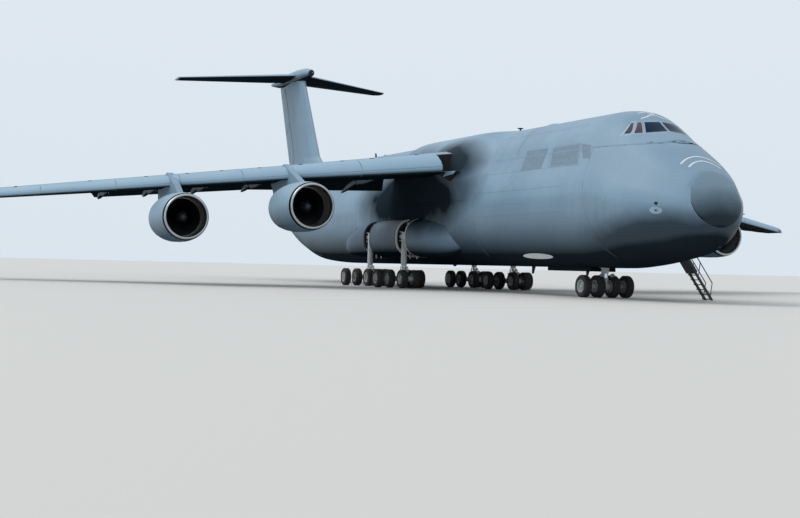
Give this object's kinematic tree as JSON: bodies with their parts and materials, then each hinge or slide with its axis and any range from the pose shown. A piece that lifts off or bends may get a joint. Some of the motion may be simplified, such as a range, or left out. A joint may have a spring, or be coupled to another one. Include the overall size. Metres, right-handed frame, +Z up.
{
  "type": "military transport plane, 1:2 scale model",
  "caption": "Giant high-wing T-tail military transport plane at 1:2 scale, with lifting nose visor, rear ramp and doors, turning wheels, fans and control surfaces.",
  "frame": {"origin": "on the ground under the middle of the plane's box, with its wheels down", "axes": "+X forward to the nose, +Y to the plane's left, +Z up"},
  "size_m": [37.655, 33.945, 9.92],
  "materials": {
    "paint": "matt blue-grey",
    "bare_metal": "satin",
    "fan_metal": "satin",
    "glazing": "clear",
    "gear_paint": "gloss light grey",
    "tyre": "matt",
    "radome": "matt"
  },
  "bodies": {
    "airframe": {"core_inner_left": "paint", "core_inner_right": "paint", "core_outer_left": "paint", "core_outer_right": "paint", "cowl_inner_left": "bare_metal", "cowl_inner_right": "bare_metal", "cowl_outer_left": "bare_metal", "cowl_outer_right": "bare_metal", "crew_door_stair": "paint", "fin": "paint", "flight_deck": "paint", "flight_deck_glass": "glazing", "fuselage_aft": "paint", "fuselage_centre": "paint", "fuselage_forward": "paint", "gear_pod_left": "paint", "gear_pod_right": "paint", "main_leg_aft_left": "gear_paint", "main_leg_aft_right": "gear_paint", "main_leg_fore_left": "gear_paint", "main_leg_fore_right": "gear_paint", "nose_bay_door_left": "paint", "nose_bay_door_right": "paint", "nose_leg": "gear_paint", "wing_left": "paint", "wing_right": "paint"},
    "visor": {"nose_visor": "paint", "nose_radome": "radome"},
    "ramp": {"aft_ramp": "paint"},
    "rear_door_left": {"aft_door_left": "paint"},
    "rear_door_right": {"aft_door_right": "paint"},
    "nose_steering": {"nose_fork": "gear_paint"},
    "nose_wheels_left": {"wheels_nose_left": "tyre"},
    "nose_wheels_right": {"wheels_nose_right": "tyre"},
    "stabiliser": {"stabiliser": "paint"},
    "rudder_lower": {"rudder_lower": "paint"},
    "rudder_upper": {"rudder_upper": "paint"},
    "flap_left": {"flap_left": "paint"},
    "aileron_left": {"aileron_left": "paint"},
    "elevator_left": {"elevator_left": "paint"},
    "bogie_left": {"aft_bogie_left": "gear_paint"},
    "wheels_fore_front_left": {"wheels_fore_front_left": "tyre"},
    "wheels_fore_rear_left": {"wheels_fore_rear_left": "tyre"},
    "wheels_aft_front_left": {"wheels_aft_front_left": "tyre"},
    "wheels_aft_rear_left": {"wheels_aft_rear_left": "tyre"},
    "fan_inner_left": {"fan_inner_left": "fan_metal"},
    "fan_outer_left": {"fan_outer_left": "fan_metal"},
    "flap_right": {"flap_right": "paint"},
    "aileron_right": {"aileron_right": "paint"},
    "elevator_right": {"elevator_right": "paint"},
    "bogie_right": {"aft_bogie_right": "gear_paint"},
    "wheels_fore_front_right": {"wheels_fore_front_right": "tyre"},
    "wheels_fore_rear_right": {"wheels_fore_rear_right": "tyre"},
    "wheels_aft_front_right": {"wheels_aft_front_right": "tyre"},
    "wheels_aft_rear_right": {"wheels_aft_rear_right": "tyre"},
    "fan_inner_right": {"fan_inner_right": "fan_metal"},
    "fan_outer_right": {"fan_outer_right": "fan_metal"}
  },
  "joints": [
    {"name": "visor_hinge", "type": "hinge", "parent": "airframe", "child": "visor", "pos_m": [17.0525, 0, 4.03], "axis": [0, -1, 0], "range_deg": [0, 88]},
    {"name": "ramp_hinge", "type": "hinge", "parent": "airframe", "child": "ramp", "pos_m": [-6.9975, 0, 0.87], "axis": [0, -1, 0], "range_deg": [0, 23]},
    {"name": "rear_door_left_hinge", "type": "hinge", "parent": "airframe", "child": "rear_door_left", "pos_m": [-10.5975, 0.775, 1.68], "axis": [0.9191, 0, -0.394], "range_deg": [0, 80]},
    {"name": "rear_door_right_hinge", "type": "hinge", "parent": "airframe", "child": "rear_door_right", "pos_m": [-10.5975, -0.775, 1.68], "axis": [-0.9191, 0, 0.394], "range_deg": [0, 80]},
    {"name": "nose_steering_swivel", "type": "hinge", "parent": "airframe", "child": "nose_steering", "pos_m": [13.4775, 0, 0.5], "axis": [0, 0, 1], "range_deg": [-60, 60]},
    {"name": "nose_wheels_left_spin", "type": "hinge", "parent": "nose_steering", "child": "nose_wheels_left", "pos_m": [13.4775, 0.45, 0.3113], "axis": [0, 1, 0], "continuous": true},
    {"name": "bogie_left_caster", "type": "hinge", "parent": "airframe", "child": "bogie_left", "pos_m": [0.8025, 2.085, 0.5], "axis": [0, 0, 1], "range_deg": [-20, 20]},
    {"name": "wheels_fore_front_left_spin", "type": "hinge", "parent": "airframe", "child": "wheels_fore_front_left", "pos_m": [4.365, 2.085, 0.3113], "axis": [0, 1, 0], "continuous": true},
    {"name": "wheels_fore_rear_left_spin", "type": "hinge", "parent": "airframe", "child": "wheels_fore_rear_left", "pos_m": [3.54, 2.085, 0.3113], "axis": [0, 1, 0], "continuous": true},
    {"name": "wheels_aft_front_left_spin", "type": "hinge", "parent": "bogie_left", "child": "wheels_aft_front_left", "pos_m": [1.215, 2.085, 0.3113], "axis": [0, 1, 0], "continuous": true},
    {"name": "wheels_aft_rear_left_spin", "type": "hinge", "parent": "bogie_left", "child": "wheels_aft_rear_left", "pos_m": [0.39, 2.085, 0.3113], "axis": [0, 1, 0], "continuous": true},
    {"name": "fan_inner_left_spin", "type": "hinge", "parent": "airframe", "child": "fan_inner_left", "pos_m": [6.8275, 6.585, 2.49], "axis": [1, 0, 0], "continuous": true},
    {"name": "fan_outer_left_spin", "type": "hinge", "parent": "airframe", "child": "fan_outer_left", "pos_m": [4.8025, 9.95, 2.1], "axis": [1, 0, 0], "continuous": true},
    {"name": "nose_wheels_right_spin", "type": "hinge", "parent": "nose_steering", "child": "nose_wheels_right", "pos_m": [13.4775, -0.45, 0.3113], "axis": [0, 1, 0], "continuous": true},
    {"name": "bogie_right_caster", "type": "hinge", "parent": "airframe", "child": "bogie_right", "pos_m": [0.8025, -2.085, 0.5], "axis": [0, 0, 1], "range_deg": [-20, 20]},
    {"name": "wheels_fore_front_right_spin", "type": "hinge", "parent": "airframe", "child": "wheels_fore_front_right", "pos_m": [4.365, -2.085, 0.3113], "axis": [0, 1, 0], "continuous": true},
    {"name": "wheels_fore_rear_right_spin", "type": "hinge", "parent": "airframe", "child": "wheels_fore_rear_right", "pos_m": [3.54, -2.085, 0.3113], "axis": [0, 1, 0], "continuous": true},
    {"name": "wheels_aft_front_right_spin", "type": "hinge", "parent": "bogie_right", "child": "wheels_aft_front_right", "pos_m": [1.215, -2.085, 0.3113], "axis": [0, 1, 0], "continuous": true},
    {"name": "wheels_aft_rear_right_spin", "type": "hinge", "parent": "bogie_right", "child": "wheels_aft_rear_right", "pos_m": [0.39, -2.085, 0.3113], "axis": [0, 1, 0], "continuous": true},
    {"name": "fan_inner_right_spin", "type": "hinge", "parent": "airframe", "child": "fan_inner_right", "pos_m": [6.8275, -6.585, 2.49], "axis": [1, 0, 0], "continuous": true},
    {"name": "fan_outer_right_spin", "type": "hinge", "parent": "airframe", "child": "fan_outer_right", "pos_m": [4.8025, -9.95, 2.1], "axis": [1, 0, 0], "continuous": true},
    {"name": "flap_left_hinge", "type": "hinge", "parent": "airframe", "child": "flap_left", "pos_m": [3.2242, 2.6, 3.704], "axis": [0.3213, -0.9442, 0.0726], "range_deg": [-15, 23]},
    {"name": "aileron_left_hinge", "type": "hinge", "parent": "airframe", "child": "aileron_left", "pos_m": [-0.0987, 12.15, 3.085], "axis": [0.3589, -0.9297, 0.0824], "range_deg": [-20, 20]},
    {"name": "flap_right_hinge", "type": "hinge", "parent": "airframe", "child": "flap_right", "pos_m": [3.2242, -2.6, 3.704], "axis": [-0.3213, -0.9442, -0.0726], "range_deg": [-15, 23]},
    {"name": "aileron_right_hinge", "type": "hinge", "parent": "airframe", "child": "aileron_right", "pos_m": [-0.0987, -12.15, 3.085], "axis": [-0.3589, -0.9297, -0.0824], "range_deg": [-20, 20]},
    {"name": "stabiliser_trim", "type": "hinge", "parent": "airframe", "child": "stabiliser", "pos_m": [-15.8725, 0, 9.575], "axis": [0, 1, 0], "range_deg": [-3, 8]},
    {"name": "elevator_left_hinge", "type": "hinge", "parent": "stabiliser", "child": "elevator_left", "pos_m": [-16.1541, 0.75, 9.565], "axis": [0.2864, -0.9578, 0.0246], "range_deg": [-20, 15]},
    {"name": "elevator_right_hinge", "type": "hinge", "parent": "stabiliser", "child": "elevator_right", "pos_m": [-16.1541, -0.75, 9.565], "axis": [-0.2864, -0.9578, -0.0246], "range_deg": [-20, 15]},
    {"name": "rudder_lower_hinge", "type": "hinge", "parent": "airframe", "child": "rudder_lower", "pos_m": [-14.4175, 0, 5.675], "axis": [-0.4522, 0, 0.8919], "range_deg": [-25, 25]},
    {"name": "rudder_upper_hinge", "type": "hinge", "parent": "airframe", "child": "rudder_upper", "pos_m": [-15.3048, 0, 7.425], "axis": [-0.4522, 0, 0.8919], "range_deg": [-25, 25]}
  ]
}
